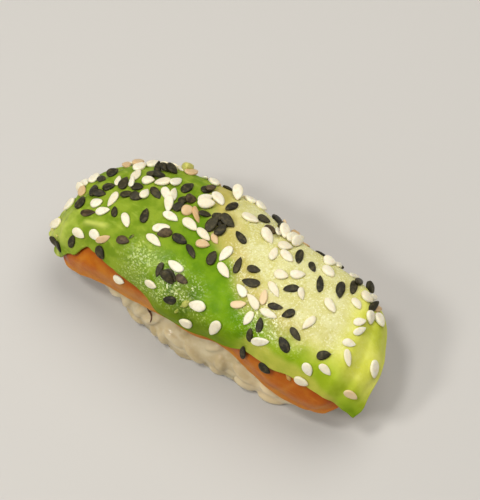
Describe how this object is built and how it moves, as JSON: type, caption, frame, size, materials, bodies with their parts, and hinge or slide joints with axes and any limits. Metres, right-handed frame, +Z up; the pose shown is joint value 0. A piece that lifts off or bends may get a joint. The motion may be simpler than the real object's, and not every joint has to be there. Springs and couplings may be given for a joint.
{
  "type": "salmon and avocado nigiri",
  "caption": "Oblong block of pressed rice with a slice of raw salmon and a long slice of avocado draped over its top, strewn with sesame seeds.",
  "frame": {"origin": "On the flat bottom of the rice block, under the middle of the drape.", "axes": "+Z up, +X along the length towards the end with the low pointed corner, +Y across to the far long side."},
  "size_m": [0.0722, 0.0293, 0.0232],
  "materials": {
    "rice": "cooked short-grain rice, slightly moist and translucent",
    "salmon": "raw salmon, moist, orange with faint pale lines",
    "avocado": "ripe avocado flesh, moist, green near the skin side to pale yellow inside, with white, tan and black sesame seeds"
  },
  "bodies": {
    "root": {"rice": "rice", "salmon": "salmon", "avocado": "avocado"}
  },
  "joints": []
}
